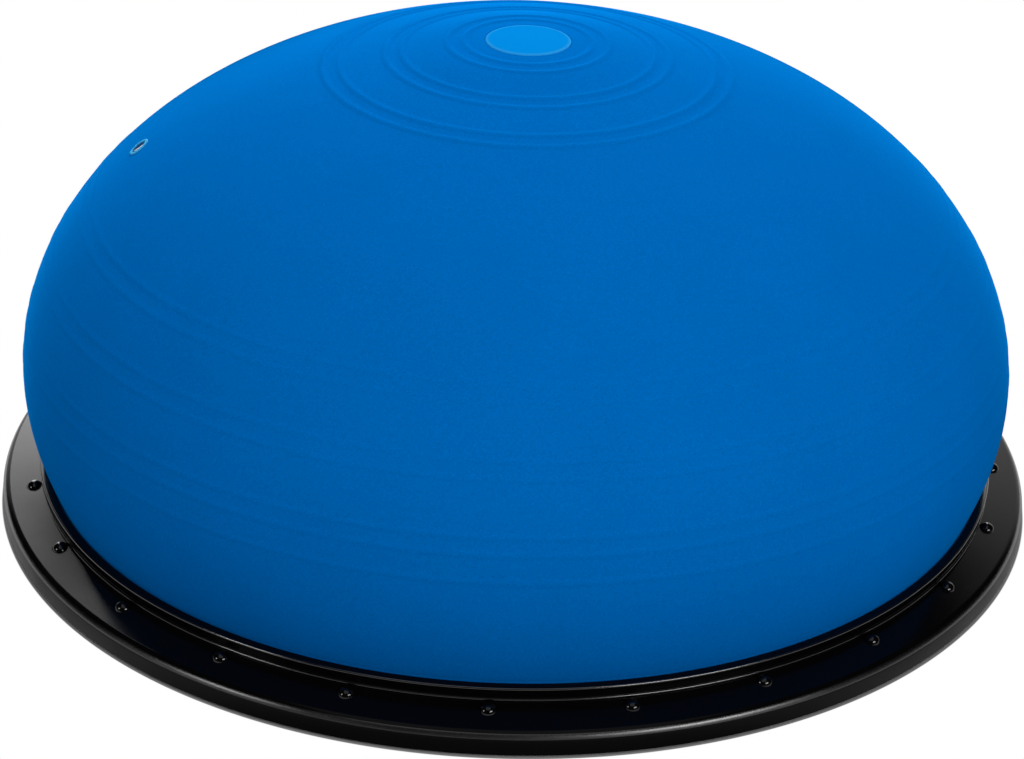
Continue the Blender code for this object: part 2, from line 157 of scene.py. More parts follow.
class BallSizes(bpy.types.PropertyGroup):
    """Sizes of the inflated ball and of what is moulded on it."""

    widest: length("Widest radius", "Radius of the ball at its widest level", 0.2461)
    rise: length("Rise", "From the widest level up to the crown", 0.164)
    mouth: length("Mouth radius", "Radius where the ball leaves the collar", 0.2362)
    bead: length("Bead radius", "Radius of the bead that the ring grips", 0.2415)
    floor: length("Floor thickness", "Thickness of the ball's flat floor", 0.003)
    crown_rib: length("Crown rib height", "How far the ribs round the crown stand up", 0.0006)
    flank_rib: length("Flank rib height", "How far the ribs on the flank stand up", 0.00022)
    rib_width: length("Rib width", "Width of one fine rib", 0.005)
    rib_gap: length("Rib gap", "Between the two ribs of a pair", 0.008)
    crown_pitch: length("Crown pitch", "From one pair round the crown to the next", 0.0302)
    flank_pitch: length("Flank pitch", "From one pair on the flank to the next", 0.033)
    rib_pairs: count("Pairs in a band", "Rib pairs round the crown, and as many on the flank", 3)
    crown_band: length("Crown band", "From the crown to its first rib", 0.0308)
    flank_band: length("Flank band", "From the crown to the flank's first rib", 0.2287)
    mould_line: length("Mould line", "From the crown to the mould line", 0.3153)
    line_height: length("Line height", "How far the mould line stands up", 0.0002)
    lift: length("Crown lift", "How far the air pushes the crown up above the ellipse", 0.0017)
    lift_start: length("Lift start", "Radius where the lift begins to fade", 0.038)
    lift_end: length("Lift end", "Radius where the lift has faded", 0.066)
    disc: length("Disc radius", "Radius of the smooth disc in the crown", DISC_HIGH.x)
    disc_gap: length("Disc gap", "Gap round the smooth disc", 0.0001)


class RingSizes(bpy.types.PropertyGroup):
    """Sizes of the clamp ring."""

    flange: length("Flange width", "From the outer edge in to the collar", 0.0196)
    skirt: length("Skirt wall", "Thickness of the skirt", 0.003)
    flange_top: length("Flange height", "Top of the flange at the collar", 0.0158)
    flange_fall: length("Flange fall", "How far the flange slopes down to the outer edge", 0.0042)
    rounding: length("Rounding", "Rounding from the flange down to the skirt's wall", 0.005)
    collar_wall: length("Collar wall", "Thickness of the upright collar", 0.0034)
    upper_lip: length("Upper lip", "How far the upper lip stands out", 0.0014)
    lower_lip: length("Lower lip", "How far the lower lip stands out", 0.0011)
    lower_lip_top: length("Lower lip height", "Top of the lower lip above the flange", 0.0024)
    lip_face: length("Lip face", "Height of the lower lip's upright face", 0.0008)
    notch: length("Notch", "Height of the slope between the lips", 0.0011)
    lean: length("Lean", "How far the lips' faces lean in towards their feet", 0.0009)
    groove_top: length("Groove top", "Top of the groove for the bead", 0.0116)
    land: length("Land", "Underside of the flange", 0.0083)


class FastenerSizes(bpy.types.PropertyGroup):
    """Sizes of the rivets and the feet."""

    rivets: count("Rivets", "Rivets round the ring", 24)
    rivet_circle: length("Rivet circle", "Radius of the circle of rivets", 0.2448)
    head_radius: length("Head radius", "Radius of a rivet's head", 0.0039)
    head_height: length("Head height", "Height of a rivet's head", 0.0027)
    shank_radius: length("Shank radius", "Radius of a rivet's shank", 0.0021)
    tail_radius: length("Tail radius", "Radius of a rivet's tail", 0.0033)
    feet: count("Feet", "Rubber feet under the plate", 8)
    foot_circle: length("Foot circle", "Radius of the circle of feet", 0.2052)
    foot_radius: length("Foot radius", "Radius of a foot", 0.015)


class PlateSizes(bpy.types.PropertyGroup):
    """Sizes of the base plate."""

    radius: length("Plate radius", "Outer radius of the plate", PLATE_HIGH.x)
    thickness: length("Thickness", "Thickness of the plate between its ribs", 0.003)
    rib_width: length("Rib width", "Width of the ribs under the plate", 0.0025)
    rim_rib: length("Rim rib", "Radius of the outermost ring rib", 0.2355)
    middle_rib: length("Middle rib", "Radius of the middle ring rib", 0.1251)
    hub: length("Hub radius", "Radius of the ring rib at the hub", 0.045)
    spokes: count("Spokes", "Straight ribs under the plate", 16)


class ValveSizes(bpy.types.PropertyGroup):
    """Place and sizes of the air valve."""

    azimuth: angle("Azimuth", "Direction of the valve round the ball, from +X", 184.5)
    turn: angle("Turn", "Angle down from the crown on the ball's ellipse", 49.2)
    flange: length("Flange radius", "Radius of the valve's pale rim", 0.0056)
    tube: length("Tube radius", "Radius of the tube through the wall", 0.0045)
    bore: length("Bore radius", "Radius of the bore", 0.004)
    wall: length("Ball wall", "Thickness of the ball's wall", 0.003)
    reach: length("Reach", "How far the tube runs on inside the ball", 0.006)
    sunk: length("Sunk", "Depth of the seat for the valve's rim", 0.0008)


class Finishes(bpy.types.PropertyGroup):
    """Colours of the pieces."""

    ball: colour("Ball", "Matt vinyl of the ball", "#006BC1")
    disc: colour("Disc", "Smooth vinyl of the crown's disc", "#038BE2")
    valve: colour("Valve", "Pale vinyl of the valve", "#4CBBF2")
    stopper: colour("Stopper", "Dark vinyl of the stopper", "#1F5E9C")
    ring: colour("Ring", "Polypropylene of the clamp ring", "#050506")
    rivet: colour("Rivets", "Nylon of the rivets", "#040405")
    plate: colour("Plate", "Polypropylene of the base plate", "#151516")
    rubber: colour("Feet", "Rubber of the feet", "#262626")


class StageSettings(bpy.types.PropertyGroup):
    """Camera and lamps."""

    distance: length("Camera distance", "From the camera to the point that it looks at", 1.47)
    elevation: angle("Elevation", "Camera's angle above the horizon", 29.358)
    azimuth: angle("Azimuth", "Camera's turn round the ball from the front", -1.139)
    roll: angle("Roll", "Camera's turn about its own axis", 3.121)
    lens: focal_length("Lens", "Focal length on a 36 mm sensor", 97.905)
    aim: spot("Aim", "Point that the camera looks at", (0.08182, 0.0136, -0.02386))
    shift: shares("Shift", "Off-centre crop, as shares of the picture's width", (-0.1582, 0.1235))
    top_lamp: power("Top lamp", "Power of the softbox overhead", 9.0)
    back_lamp: power("Back lamp", "Power of the softbox behind the ball", 56.0)
    left_lamp: power("Left lamp", "Power of the softbox on the left", 7.0)
    right_lamp: power("Right lamp", "Power of the softbox on the right", 19.0)
    ambient: amount("Ambient", "Soft light from all round", 0.22)


# Node trees


def add(tree, kind, inputs=None, **settings):
    """Adds one node. An input is a plain value, or a socket or a node to link from."""
    node = tree.nodes.new(kind)
    for name, value in settings.items():
        setattr(node, name, value)
    for key, value in (inputs or {}).items():
        if isinstance(value, bpy.types.Node):
            value = next(socket for socket in value.outputs if socket.enabled)
        if isinstance(value, bpy.types.NodeSocket):
            tree.links.new(value, node.inputs[key])
        else:
            node.inputs[key].default_value = value
    return node


def new_tree(name, defaults):
    """A geometry tree with a named input for each default: (tree, its inputs)."""
    tree = bpy.data.node_groups.new(name, "GeometryNodeTree")
    geometry = {"name": "Geometry", "socket_type": "NodeSocketGeometry"}
    tree.interface.new_socket(in_out="INPUT", **geometry)
    for label, default in defaults.items():
        kind = "NodeSocketInt" if isinstance(default, int) else "NodeSocketFloat"
        socket = tree.interface.new_socket(label, in_out="INPUT", socket_type=kind)
        socket.default_value = default
    tree.interface.new_socket(in_out="OUTPUT", **geometry)
    return tree, add(tree, "NodeGroupInput").outputs


def finish_tree(tree, geometry, finish):
    """Ends a tree in Realize Instances and Set Material."""
    real = add(tree, "GeometryNodeRealizeInstances", {"Geometry": geometry})
    done = add(tree, "GeometryNodeSetMaterial", {"Geometry": real, "Material": finish})
    add(tree, "NodeGroupOutput", {"Geometry": done})
    return tree


def turning_group():
    """Turns an outline in the XZ plane about Z. Its points run down the outer side."""
    name = "Turn about Z"
    if name in bpy.data.node_groups:
        return bpy.data.node_groups[name]
    tree, given = new_tree(name, {"Steps": 128})
    outline = given["Geometry"]
    rows = add(tree, "GeometryNodeAttributeDomainSize", {"Geometry": outline})
    columns = add(tree, INTEGER, {0: given["Steps"], 1: 1}, operation="ADD")
    sides = {"Size X": 1.0, "Size Y": 1.0, "Vertices X": rows, "Vertices Y": columns}
    grid = add(tree, "GeometryNodeMeshGrid", sides)
    index = add(tree, "GeometryNodeInputIndex")
    row = add(tree, INTEGER, {0: index, 1: columns}, operation="DIVIDE_FLOOR")
    column = add(tree, INTEGER, {0: index, 1: columns}, operation="MODULO")
    place, arc = (
        add(tree, SAMPLE, {"Geometry": outline, "Value": value, "Index": row}, data_type=kind)
        for value, kind in (
            (add(tree, "GeometryNodeInputPosition"), "FLOAT_VECTOR"),
            (add(tree, ATTRIBUTE, {"Name": "arc"}), "FLOAT"),
        )
    )
    step = add(tree, MATH, {0: math.tau, 1: given["Steps"]}, operation="DIVIDE")
    turn = add(tree, MATH, {0: column, 1: step}, operation="MULTIPLY")
    spun = add(tree, ROTATE, {"Vector": place, "Angle": turn}, rotation_type="Z_AXIS")
    placed = add(tree, "GeometryNodeSetPosition", {"Geometry": grid, "Position": spun})
    marked = add(tree, STORE, {"Geometry": placed, "Name": "arc", "Value": arc})
    merging = {"Geometry": marked, "Distance": MERGE_DISTANCE}
    merged = add(tree, "GeometryNodeMergeByDistance", merging)
    add(tree, "NodeGroupOutput", {"Geometry": merged})
    return tree


def turned_tree(finish):
    """Turns an outline and gives it its finish."""
    tree, given = new_tree("Turned piece", {"Steps": 128})
    inputs = {"Geometry": given["Geometry"], "Steps": given["Steps"]}
    piece = add(tree, GROUP, inputs, node_tree=turning_group())
    return finish_tree(tree, piece, finish)


def nearest_rib_group():
    """Distance along the surface to the nearest rib of a band of rib pairs."""
    name = "Nearest rib"
    if name in bpy.data.node_groups:
        return bpy.data.node_groups[name]
    tree = bpy.data.node_groups.new(name, "GeometryNodeTree")
    for label in ("Arc", "Band start", "Pitch", "Gap", "Pairs"):
        tree.interface.new_socket(label, in_out="INPUT", socket_type="NodeSocketFloat")
    tree.interface.new_socket("Distance", in_out="OUTPUT", socket_type="NodeSocketFloat")
    given = add(tree, "NodeGroupInput").outputs

    from_start = add(tree, MATH, {0: given["Arc"], 1: given["Band start"]}, operation="SUBTRACT")
    before = add(tree, MATH, {0: from_start, 1: given["Gap"]}, operation="ADD")
    pitches = add(tree, MATH, {0: before, 1: given["Pitch"]}, operation="DIVIDE")
    number = add(tree, MATH, {0: pitches}, operation="FLOOR")
    last = add(tree, MATH, {0: given["Pairs"], 1: 1.0}, operation="SUBTRACT")
    pair = add(tree, "ShaderNodeClamp", {"Value": number, "Min": 0.0, "Max": last})
    skipped = add(tree, MATH, {0: pair, 1: given["Pitch"]}, operation="MULTIPLY")
    from_first = add(tree, MATH, {0: from_start, 1: skipped}, operation="SUBTRACT")
    from_second = add(tree, MATH, {0: from_first, 1: given["Gap"]}, operation="SUBTRACT")
    first = add(tree, MATH, {0: from_first}, operation="ABSOLUTE")
    second = add(tree, MATH, {0: from_second}, operation="ABSOLUTE")
    nearest = add(tree, MATH, {0: first, 1: second}, operation="MINIMUM")
    add(tree, "NodeGroupOutput", {"Distance": nearest})
    return tree


def membrane_tree(finish, sizes):
    """Turns the ball's outline and raises its fine ribs and its mould line."""
    tree, given = new_tree("Ribbed membrane", sizes)
    arc = add(tree, ATTRIBUTE, {"Name": "arc"})
    half = add(tree, MATH, {0: given["Rib width"], 1: 0.5}, operation="MULTIPLY")
    distances = {}
    for band in ("Crown", "Flank"):
        inputs = {"Arc": arc, "Gap": given["Rib gap"], "Pairs": given["Pairs"]}
        inputs |= {"Band start": given[f"{band} band"], "Pitch": given[f"{band} pitch"]}
        distances[f"{band} rib"] = add(tree, GROUP, inputs, node_tree=nearest_rib_group())
    from_line = add(tree, MATH, {0: arc, 1: given["Mould line"]}, operation="SUBTRACT")
    distances["Line"] = add(tree, MATH, {0: from_line}, operation="ABSOLUTE")
    heights = []
    for name, distance in distances.items():
        ends = {"To Min": given[f"{name} height"], "To Max": 0.0}
        inputs = {"Value": distance, "From Min": 0.0, "From Max": half, **ends}
        heights.append(add(tree, RANGE, inputs, interpolation_type="SMOOTHSTEP"))
    ribs = add(tree, MATH, {0: heights[0], 1: heights[1]}, operation="ADD")
    raised = add(tree, MATH, {0: ribs, 1: heights[2]}, operation="ADD")
    inputs = {"Geometry": given["Geometry"], "Steps": given["Steps"]}
    ball = add(tree, GROUP, inputs, node_tree=turning_group())
    marked = add(tree, STORE, {"Geometry": ball, "Name": "raised", "Value": raised})
    normal = add(tree, "GeometryNodeInputNormal")
    stored = add(tree, ATTRIBUTE, {"Name": "raised"})
    offset = add(tree, VECTOR, {0: normal, "Scale": stored}, operation="SCALE")
    ribbed = add(tree, "GeometryNodeSetPosition", {"Geometry": marked, "Offset": offset})
    return finish_tree(tree, ribbed, finish)


def repeat_tree(finish, turn_first):
    """Sets copies of a piece round Z on a circle, each a little different in height."""
    sizes = {"Steps": 24, "Count": 24, "Circle radius": 0.2, "Level": 0.0, "Start angle": 0.0}
    sizes |= {"Tilt": 0.0, "Unevenness": 0.0, "Seed": 7}
    tree, given = new_tree("Repeated round Z", sizes)
    piece = given["Geometry"]
    if turn_first:
        inputs = {"Geometry": piece, "Steps": given["Steps"]}
        piece = add(tree, GROUP, inputs, node_tree=turning_group())
    index = add(tree, "GeometryNodeInputIndex")
    step = add(tree, MATH, {0: math.tau, 1: given["Count"]}, operation="DIVIDE")
    inputs = {0: index, 1: step, 2: given["Start angle"]}
    turn = add(tree, MATH, inputs, operation="MULTIPLY_ADD")
    out = add(tree, COMBINE, {"X": given["Circle radius"], "Z": given["Level"]})
    place = add(tree, ROTATE, {"Vector": out, "Angle": turn}, rotation_type="Z_AXIS")
    points = add(tree, "GeometryNodePoints", {"Count": given["Count"], "Position": place})
    least = add(tree, MATH, {0: 1.0, 1: given["Unevenness"]}, operation="SUBTRACT")
    inputs = {2: least, 3: 1.0, "Seed": given["Seed"]}
    height = add(tree, "FunctionNodeRandomValue", inputs, data_type="FLOAT")
    facing = add(tree, COMBINE, {"Y": given["Tilt"], "Z": turn})
    size = add(tree, COMBINE, {"X": 1.0, "Y": 1.0, "Z": height})
    inputs = {"Points": points, "Instance": piece, "Rotation": facing, "Scale": size}
    return finish_tree(tree, add(tree, "GeometryNodeInstanceOnPoints", inputs), finish)


def plain_mesh(piece, tree, values):
    """Runs a geometry tree on a piece and keeps its result as a plain mesh."""
    modifier = piece.modifiers.new(tree.name, "NODES")
    modifier.node_group = tree
    for item in tree.interface.items_tree:
        if item.item_type == "SOCKET" and item.in_out == "INPUT" and item.name in values:
            modifier[item.identifier] = values[item.name]
    return applied(piece)


def applied(piece):
    """Turns what a piece's modifiers make into its own plain mesh."""
    graph = bpy.context.evaluated_depsgraph_get()
    mesh = bpy.data.meshes.new_from_object(
        piece.evaluated_get(graph), preserve_all_data_layers=True, depsgraph=graph
    )
    piece.modifiers.clear()
    piece.data = mesh
    mesh.name = piece.name
    mesh.shade_smooth()
    mesh.set_sharp_from_angle(angle=SOFT_EDGE)
    return piece


# Outlines and meshes


def new_piece(name, mesh):
    piece = bpy.data.objects.new(name, mesh)
    bpy.context.scene.collection.objects.link(piece)
    return piece


def outline_piece(name, points, arcs=None):
    """A piece that holds an outline in the XZ plane: (radius, height) points in order."""
    mesh = bpy.data.meshes.new(name)
    corners = [(radius, 0.0, height) for radius, height in points]
    mesh.from_pydata(corners, [(i, i + 1) for i in range(len(corners) - 1)], [])
    if arcs:
        mesh.attributes.new("arc", "FLOAT", "POINT").data.foreach_set("value", arcs)
    return new_piece(name, mesh)


def turned_piece(name, points, steps, finish):
    """A piece turned about Z from its outline."""
    return plain_mesh(outline_piece(name, points), turned_tree(finish), {"Steps": steps})


def repeated_piece(name, points, values, finish):
    """Copies of a small turned piece on a circle round Z."""
    return plain_mesh(outline_piece(name, points), repeat_tree(finish, True), values)


def rounded(corners, steps):
    """An outline from (radius, height, rounding) corners. Its two ends stay sharp."""
    points = [corners[0][:2]]
    for before, corner, after in zip(corners, corners[1:], corners[2:]):
        rounding = corner[2]
        if rounding <= 0.0:
            points.append(corner[:2])
            continue
        here = Vector(corner[:2])
        back = (Vector(before[:2]) - here).normalized()
        ahead = (Vector(after[:2]) - here).normalized()
        half_turn = back.angle(ahead) / 2
        reach = rounding / math.tan(half_turn)
        middle = here + (back + ahead).normalized() * (rounding / math.sin(half_turn))
        first = here + back * reach - middle
        swing = first.angle_signed(here + ahead * reach - middle)
        pieces = max(steps, round(rounding / STEP_LENGTH))
        for i in range(pieces + 1):
            points.append(tuple(middle + Matrix.Rotation(-swing * i / pieces, 2) @ first))
    points.append(corners[-1][:2])
    return points


def mesh_of(name, shape):
    """Turns a bmesh into a mesh and frees it."""
    mesh = bpy.data.meshes.new(name)
    shape.to_mesh(mesh)
    shape.free()
    return mesh


def rounded_bar(name, low, high, rounding):
    """The mesh of a straight bar between two corners, with its edges rounded."""
    shape = bmesh.new()
    low, high = Vector(low), Vector(high)
    size = Matrix.Diagonal((*(high - low), 1.0))
    bmesh.ops.create_cube(shape, size=1.0, matrix=Matrix.Translation((low + high) / 2) @ size)
    form = {"segments": 2, "profile": 0.5, "affect": "EDGES", "clamp_overlap": True}
    bmesh.ops.bevel(shape, geom=list(shape.edges), offset=rounding, **form)
    return mesh_of(name, shape)


class BallSurface:
    """The oblate ellipsoid that the ball is turned from, pushed up a little at the crown."""

    def __init__(self, sizes):
        self.radius = sizes.widest
        self.rise = sizes.rise
        self.mouth_turn = math.pi - math.asin(sizes.mouth / sizes.widest)
        self.centre = RING_HIGH.z - sizes.rise * math.cos(self.mouth_turn)
        self.lift = sizes.lift
        self.fade = (sizes.lift_start, sizes.lift_end)

    def point(self, turn):
        """(radius, height) at an angle down from the crown on the ellipse."""
        radius = self.radius * math.sin(turn)
        height = self.centre + self.rise * math.cos(turn)
        if turn < math.pi / 2:
            start, end = self.fade
            share = min(1.0, max(0.0, (end - radius) / (end - start)))
            height += self.lift * share * share * (3.0 - 2.0 * share)
        return radius, height

    def normal(self, turn):
        return Vector((self.rise * math.sin(turn), self.radius * math.cos(turn))).normalized()

    def turn_at(self, radius):
        return math.asin(radius / self.radius)

    def spread(self, start, end, spacing, steps=8000):
        """(radius, height, arc length from the crown) at even spacing along the surface."""
        turns = [end * i / steps for i in range(steps + 1)]
        points = [self.point(turn) for turn in turns]
        walked, found = 0.0, []
        for i in range(1, steps + 1):
            walked += math.dist(points[i - 1], points[i])
            if turns[i] >= start and (not found or walked >= found[-1][2] + spacing):
                found.append((*points[i], walked))
        found[-1] = (*points[-1], walked)
        return found


# Finishes


def new_finish(name):
    """An empty material: (material, its tree, the piece's Object coordinates)."""
    finish = bpy.data.materials.new(name)
    finish.use_nodes = True
    tree = finish.node_tree
    tree.nodes.clear()
    return finish, tree, add(tree, "ShaderNodeTexCoord").outputs["Object"]


def end_finish(finish, colour, roughness, shine, texture, strength, depth, sheen=None):
    """Ends a material in its shader. Its texture stands up by a depth in metres."""
    tree = finish.node_tree
    bump = add(tree, BUMP, {"Strength": strength, "Distance": depth, "Height": texture})
    inputs = {"Base Color": colour, "Roughness": roughness, "Specular IOR Level": shine}
    inputs |= {"Normal": bump, **(sheen or {})}
    shader = add(tree, "ShaderNodeBsdfPrincipled", inputs)
    add(tree, "ShaderNodeOutputMaterial", {"Surface": shader})
    return finish


def per(millimetres):
    """Scale of a noise whose grains are this size on Object coordinates in metres."""
    return 1000.0 / millimetres


def shade(rgb, factor=1.0):
    return (*(min(1.0, c * factor) for c in rgb), 1.0)


def matt_vinyl(colours, sizes):
    """Plasticised PVC, slush moulded: even colour, a fine grain and a broad dull sheen."""
    finish, tree, place = new_finish("Matt slush-moulded vinyl")
    # The skin varies a little in thickness over some 40 mm, and so in depth of colour
    clouds = add(tree, NOISE, {"Vector": place, "Scale": per(40.0), "Detail": 2.0})
    inputs = {0: clouds, 6: shade(colours.ball, 0.96), 7: shade(colours.ball, 1.04)}
    tone = add(tree, MIX, inputs, data_type="RGBA")
    # Grain of the mould, about 0.9 mm: the real one is finer than the render can show
    inputs = {"Vector": place, "Scale": per(0.9), "Detail": 3.0, "Roughness": 0.6}
    grain = add(tree, NOISE, inputs)
    bright = add(tree, RANGE, {"Value": grain, "From Min": 0.3, "From Max": 0.7})
    inputs = {0: bright, 6: (0.88, 0.88, 0.88, 1.0), 7: (1.12, 1.12, 1.12, 1.0)}
    grained = add(tree, MIX, inputs, data_type="RGBA")
    inputs = {0: 1.0, 6: tone, 7: grained}
    coloured = add(tree, MIX, inputs, data_type="RGBA", blend_type="MULTIPLY")
    # The tops of the ribs are a little paler: partly wear from shoes, partly a painted sheen on
    # the ribs
    raised = add(tree, "ShaderNodeAttribute", attribute_name="raised").outputs["Fac"]
    low, high = sizes.flank_rib * 0.4, sizes.crown_rib
    rib_wear_and_sheen = add(tree, RANGE, {"Value": raised, "From Min": low, "From Max": high, "To Max": 0.04})
    worn = add(tree, MIX, {0: rib_wear_and_sheen, 6: coloured, 7: shade(colours.disc)}, data_type="RGBA")
    dull = add(tree, RANGE, {"Value": grain, "To Min": 0.52, "To Max": 0.66})
    sheen = {"Sheen Weight": 1.0, "Sheen Roughness": 0.3, "Sheen Tint": shade(colours.disc)}
    relief = {"texture": grain, "strength": 0.35, "depth": 0.0001}
    return end_finish(finish, worn, dull, shine=0.0, sheen=sheen, **relief)


def smooth_vinyl(colours, sizes):
    """Cast vinyl of the crown's disc: smooth, with a soft gloss, and a painted highlight round its
    edge.
    """
    finish, tree, place = new_finish("Smooth cast vinyl")
    flat = add(tree, VECTOR, {0: place, 1: (1.0, 1.0, 0.0)}, operation="MULTIPLY")
    out = add(tree, VECTOR, {0: flat}, operation="LENGTH")
    # Painted highlight: over the last 2 mm to its edge the disc turns towards the valve's paler
    # blue
    start, end = sizes.disc - 0.0022, sizes.disc - 0.0002
    inputs = {"Value": out, "From Min": start, "From Max": end, "To Max": 0.3}
    edge = add(tree, RANGE, inputs, interpolation_type="SMOOTHSTEP")
    inputs = {0: edge, 6: shade(colours.disc), 7: shade(colours.valve)}
    tone = add(tree, MIX, inputs, data_type="RGBA")
    # Scuffs of fine grit, about 2 mm apart, change only the gloss
    scuffs = add(tree, NOISE, {"Vector": place, "Scale": per(2.0), "Detail": 4.0})
    gloss = add(tree, RANGE, {"Value": scuffs, "To Min": 0.4, "To Max": 0.55})
    relief = {"texture": scuffs, "strength": 0.12, "depth": 0.00005}
    return end_finish(finish, tone, gloss, shine=0.0, **relief)


def soft_vinyl(name, rgb):
    """Soft injected vinyl of the valve: even and waxy, with a faint mould texture."""
    finish, tree, place = new_finish(name)
    wax = add(tree, NOISE, {"Vector": place, "Scale": per(1.5), "Detail": 3.0})
    tone = add(tree, MIX, {0: wax, 6: shade(rgb, 0.9), 7: shade(rgb, 1.08)}, data_type="RGBA")
    gloss = add(tree, RANGE, {"Value": wax, "To Min": 0.3, "To Max": 0.45})
    relief = {"texture": wax, "strength": 0.1, "depth": 0.00005}
    return end_finish(finish, tone, gloss, shine=0.0, **relief)


def moulded_plastic(
    name, rgb, smooth, rough, grain_mm=0.8, grain_depth=0.00001, shine=0.5, satin_below=None
):
    """Black injection moulding: a dense skin whose gloss varies with the mould's polish."""
    finish, tree, place = new_finish(name)
    # Flow of the melt leaves broad, faint changes of gloss, some 25 mm across
    flow = add(tree, NOISE, {"Vector": place, "Scale": per(25.0), "Detail": 3.0})
    inputs = {"Vector": place, "Scale": per(grain_mm), "Detail": 2.0, "Roughness": 0.5}
    grain = add(tree, NOISE, inputs)
    both = add(tree, MATH, {0: flow, 1: grain}, operation="MULTIPLY")
    ends = {"To Min": smooth, "To Max": rough}
    gloss = add(tree, RANGE, {"Value": both, "From Min": 0.12, "From Max": 0.4, **ends})
    tone = add(tree, MIX, {0: grain, 6: shade(rgb, 0.85), 7: shade(rgb, 1.2)}, data_type="RGBA")
    if satin_below:
        # The mould is polished above this level and left satin on the upright wall below it
        level = add(tree, "ShaderNodeSeparateXYZ", {"Vector": place}).outputs["Z"]
        ends = {"To Min": 0.34, "To Max": 0.0}
        span = {"From Min": satin_below, "From Max": satin_below + 0.0035}
        satin = add(tree, RANGE, {"Value": level, **span, **ends})
        gloss = add(tree, MATH, {0: gloss, 1: satin}, operation="ADD")
    relief = {"texture": grain, "strength": 0.3, "depth": grain_depth}
    return end_finish(finish, tone, gloss, shine, **relief)


def foot_rubber(rgb):
    """Moulded natural rubber: dull, with dust in its grain."""
    finish, tree, place = new_finish("Moulded rubber")
    dust = add(tree, NOISE, {"Vector": place, "Scale": per(1.2), "Detail": 4.0})
    tone = add(tree, MIX, {0: dust, 6: shade(rgb, 0.7), 7: shade(rgb, 1.7)}, data_type="RGBA")
    relief = {"texture": dust, "strength": 0.4, "depth": 0.0001}
    return end_finish(finish, tone, roughness=0.85, shine=0.5, **relief)


# Pieces


def valve_matrix(sizes, surface):
    """Puts a piece turned about Z on the valve's axis, its zero level on the ball."""
    radius, height = surface.point(sizes.turn)
    normal = surface.normal(sizes.turn)
    tilt = math.atan2(normal.x, normal.y)
    spin = Matrix.Rotation(sizes.azimuth, 4, "Z")
    return spin @ Matrix.Translation((radius, 0.0, height)) @ Matrix.Rotation(tilt, 4, "Y")


def cut(piece, cutter):
    """Cuts one piece with another, and removes the cutter."""
    step = piece.modifiers.new("Cut", "BOOLEAN")
    step.operation = "DIFFERENCE"
    step.solver = "EXACT"
    step.object = cutter
    applied(piece)
    bpy.data.objects.remove(cutter)


def build_ball(scene):
    sizes = scene.balance_ball
    valve = scene.balance_ball_valve
    surface = BallSurface(sizes)
    finish = matt_vinyl(scene.balance_ball_finishes, sizes)
    edge, chamfer, spacing = 0.0004, 0.00012, 0.00075
    # The recess for the disc, the ball's side, and the bead and floor inside the ring
    recess, recess_floor = sizes.disc + sizes.disc_gap, DISC_LOW.z - sizes.disc_gap
    side = surface.spread(surface.turn_at(recess + edge), surface.mouth_turn, spacing)
    rim = side[0][1]
    foot = SHELL_LOW.z + sizes.floor
    before = [(0.0, recess_floor), (recess, recess_floor), (recess, rim - edge)]
    before.append((recess + chamfer, rim - chamfer))
    after = [(sizes.mouth, foot + edge), (sizes.mouth + edge, foot)]
    after += [(sizes.bead - edge, foot), (sizes.bead, foot - edge)]
    after += [(sizes.bead, SHELL_LOW.z), (0.0, SHELL_LOW.z)]
    points = [*before, *(point[:2] for point in side), *after]
    # An arc length of -1 keeps the ribs off all but the side
    arcs = [-1.0] * len(before) + [walked for *_, walked in side] + [-1.0] * len(after)
    ball = outline_piece("ball_membrane", points, arcs)
    values = {
        "Steps": BALL_STEPS,
        "Rib width": sizes.rib_width,
        "Rib gap": sizes.rib_gap,
        "Pairs": sizes.rib_pairs,
        "Crown band": sizes.crown_band,
        "Crown pitch": sizes.crown_pitch,
        "Crown rib height": sizes.crown_rib,
        "Flank band": sizes.flank_band,
        "Flank pitch": sizes.flank_pitch,
        "Flank rib height": sizes.flank_rib,
        "Mould line": sizes.mould_line,
        "Line height": sizes.line_height,
    }
    plain_mesh(ball, membrane_tree(finish, values), values)
    # The valve's hole, with a seat for its rim
    seat, hole = valve.flange + CLEARANCE, valve.tube + CLEARANCE
    spare = 0.002
    above, below = 0.003, -valve.wall - valve.reach - spare
    outline = [(0.0, above), (seat, above), (seat, -valve.sunk), (hole, -valve.sunk)]
    outline += [(hole, below), (0.0, below)]
    cutter = turned_piece("valve_cutter", outline, HOLE_STEPS, finish)
    cutter.data.transform(valve_matrix(valve, surface))
    cut(ball, cutter)
    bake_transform(ball)
    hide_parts("upper_shell", "lower_shell")


def build_disc(scene):
    sizes = scene.balance_ball
    surface = BallSurface(sizes)
    finish = smooth_vinyl(scene.balance_ball_finishes, sizes)
    proud = DISC_HIGH.z - surface.centre - surface.rise
    # The disc follows the ball's curve up to its rounded edge
    rounding, bevel, rows = 0.0008, 0.0003, 12
    edge_turn = surface.turn_at(sizes.disc - rounding)
    outline = []
    for i in range(rows + 1):
        radius, height = surface.point(edge_turn * i / rows)
        outline.append((radius, height + proud))
    side_top = surface.point(surface.turn_at(sizes.disc))[1]
    bevel_top = side_top + proud * 0.75
    outline += [(sizes.disc - bevel, bevel_top), (sizes.disc, side_top)]
    outline += [(sizes.disc, DISC_LOW.z), (0.0, DISC_LOW.z)]
    disc = turned_piece("smooth_disc", outline, DISC_STEPS, finish)
    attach(disc, "dome")
    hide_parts("crown_disc")


